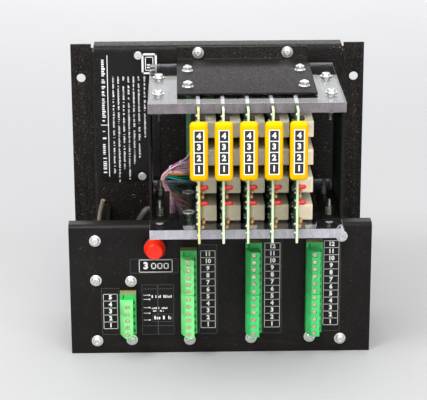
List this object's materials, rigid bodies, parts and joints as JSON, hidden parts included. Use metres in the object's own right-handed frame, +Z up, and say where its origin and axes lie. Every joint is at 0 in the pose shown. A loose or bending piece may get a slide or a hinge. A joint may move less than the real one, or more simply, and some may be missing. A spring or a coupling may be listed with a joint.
{
  "type": "relay card panel with fuse",
  "caption": "Wall-mounted relay-card panel: folded chassis, plug-in cards between clear guide plates, front panel with pluggable terminals and a panel fuse.",
  "frame": {"origin": "bottom centre of the box around the whole part", "axes": "+Z up, +Y towards the wall behind the flanges, -Y towards the user, +X to the user's right"},
  "size_m": [0.203, 0.151, 0.1995],
  "materials": {
    "textured_black": "coarse textured powder coat",
    "satin_black": "satin paint",
    "label_black": "printed film",
    "clear_acrylic": "clear, with sawn edges",
    "board_green": "solder-masked glass epoxy",
    "connector_black": "moulded",
    "relay_cream": "moulded",
    "handle_yellow": "moulded",
    "header_green": "moulded",
    "plug_green": "moulded",
    "fuse_black": "moulded",
    "fuse_red": "moulded",
    "fuse_glass": "clear tube with metal ends",
    "wire_insulation": "extruded",
    "sleeve_black": "shrunk sleeve"
  },
  "bodies": {
    "frame": {"chassis": "textured_black", "nameplate": "label_black", "upper_bracket": "textured_black", "lower_bracket": "textured_black", "upper_guide_plate": "clear_acrylic", "lower_guide_plate": "clear_acrylic", "left_side_bracket": "satin_black", "right_side_bracket": "satin_black", "front_panel": "satin_black", "left_panel_support": "satin_black", "right_panel_support": "satin_black", "backplane_board": "board_green", "edge_connector_1": "connector_black", "edge_connector_2": "connector_black", "edge_connector_3": "connector_black", "edge_connector_4": "connector_black", "edge_connector_5": "connector_black", "terminal_header_1": "header_green", "terminal_header_2": "header_green", "terminal_header_3": "header_green", "terminal_header_4": "header_green", "fuse_holder": "fuse_black", "wiring_harness": "wire_insulation", "wire_sleeve": "sleeve_black"},
    "card_1": {"card_1_board": "board_green", "card_1_handle": "handle_yellow", "card_1_relay_1": "relay_cream", "card_1_relay_2": "relay_cream", "card_1_relay_3": "relay_cream", "card_1_relay_4": "relay_cream"},
    "card_2": {"card_2_board": "board_green", "card_2_handle": "handle_yellow", "card_2_relay_1": "relay_cream", "card_2_relay_2": "relay_cream", "card_2_relay_3": "relay_cream", "card_2_relay_4": "relay_cream"},
    "card_3": {"card_3_board": "board_green", "card_3_handle": "handle_yellow", "card_3_relay_1": "relay_cream", "card_3_relay_2": "relay_cream", "card_3_relay_3": "relay_cream", "card_3_relay_4": "relay_cream"},
    "card_4": {"card_4_board": "board_green", "card_4_handle": "handle_yellow", "card_4_relay_1": "relay_cream", "card_4_relay_2": "relay_cream", "card_4_relay_3": "relay_cream", "card_4_relay_4": "relay_cream"},
    "card_5": {"card_5_board": "board_green", "card_5_handle": "handle_yellow", "card_5_relay_1": "relay_cream", "card_5_relay_2": "relay_cream", "card_5_relay_3": "relay_cream", "card_5_relay_4": "relay_cream"},
    "plug_1": {"terminal_plug_1": "plug_green"},
    "plug_2": {"terminal_plug_2": "plug_green"},
    "plug_3": {"terminal_plug_3": "plug_green"},
    "plug_4": {"terminal_plug_4": "plug_green"},
    "fuse_link": {"fuse_cartridge": "fuse_glass"},
    "fuse_knob": {"fuse_cap": "fuse_red"}
  },
  "joints": [
    {"name": "card_1_slide", "type": "slide", "parent": "frame", "child": "card_1", "axis": [0, -1, 0], "range_m": [0, 0.03]},
    {"name": "card_2_slide", "type": "slide", "parent": "frame", "child": "card_2", "axis": [0, -1, 0], "range_m": [0, 0.03]},
    {"name": "card_3_slide", "type": "slide", "parent": "frame", "child": "card_3", "axis": [0, -1, 0], "range_m": [0, 0.03]},
    {"name": "card_4_slide", "type": "slide", "parent": "frame", "child": "card_4", "axis": [0, -1, 0], "range_m": [0, 0.03]},
    {"name": "card_5_slide", "type": "slide", "parent": "frame", "child": "card_5", "axis": [0, -1, 0], "range_m": [0, 0.115]},
    {"name": "plug_1_pull", "type": "slide", "parent": "frame", "child": "plug_1", "axis": [0, -1, 0], "range_m": [0, 0.014]},
    {"name": "plug_2_pull", "type": "slide", "parent": "frame", "child": "plug_2", "axis": [0, -1, 0], "range_m": [0, 0.014]},
    {"name": "plug_3_pull", "type": "slide", "parent": "frame", "child": "plug_3", "axis": [0, -1, 0], "range_m": [0, 0.014]},
    {"name": "plug_4_pull", "type": "slide", "parent": "frame", "child": "plug_4", "axis": [0, -1, 0], "range_m": [0, 0.014]},
    {"name": "fuse_pull", "type": "slide", "parent": "frame", "child": "fuse_link", "axis": [0, -1, 0], "range_m": [0, 0.045]},
    {"name": "fuse_twist", "type": "hinge", "parent": "fuse_link", "child": "fuse_knob", "pos_m": [-0.044, -0.0065, 0.0763], "axis": [0, 1, 0], "range_deg": [0, 90]}
  ]
}
